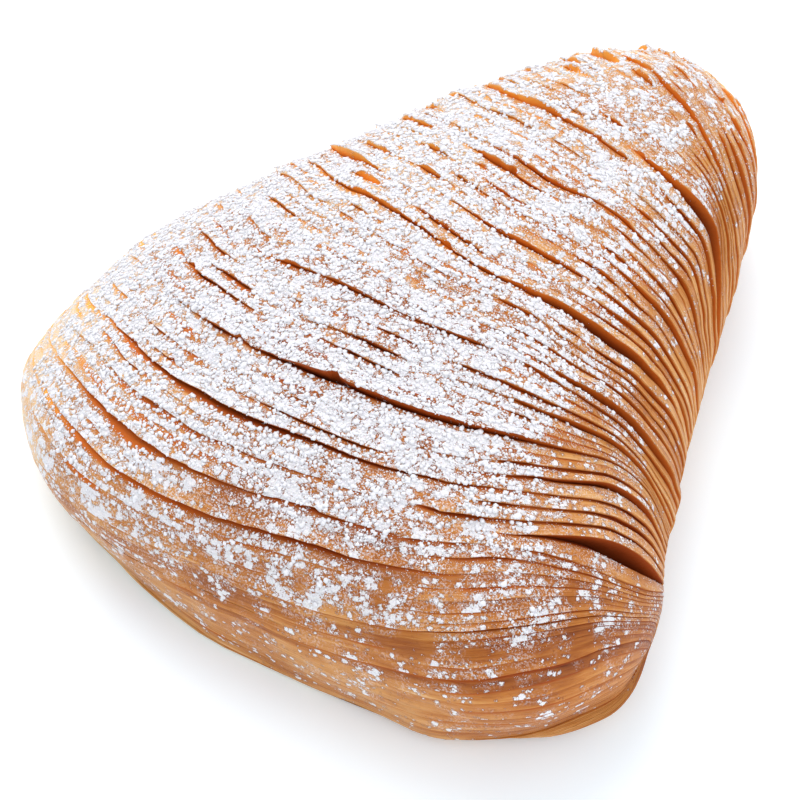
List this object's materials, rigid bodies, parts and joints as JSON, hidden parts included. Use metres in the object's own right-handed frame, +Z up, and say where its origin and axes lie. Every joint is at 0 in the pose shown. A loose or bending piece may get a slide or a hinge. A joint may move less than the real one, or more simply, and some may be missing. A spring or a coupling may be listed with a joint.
{
  "type": "sfogliatella pastry",
  "caption": "Clam-shaped flaky pastry of many thin overlapping layers, lying flat with its mouth closed.",
  "frame": {"origin": "centre of the pastry's outline, on the table it rests on", "axes": "+Z up, +Y from the closed mouth to the blunt tip, +X towards the pastry's steep right side"},
  "size_m": [0.1056, 0.1226, 0.0418],
  "materials": {
    "crust": "matte",
    "sugar": "matte"
  },
  "bodies": {
    "root": {"pastry": "crust"}
  },
  "joints": []
}
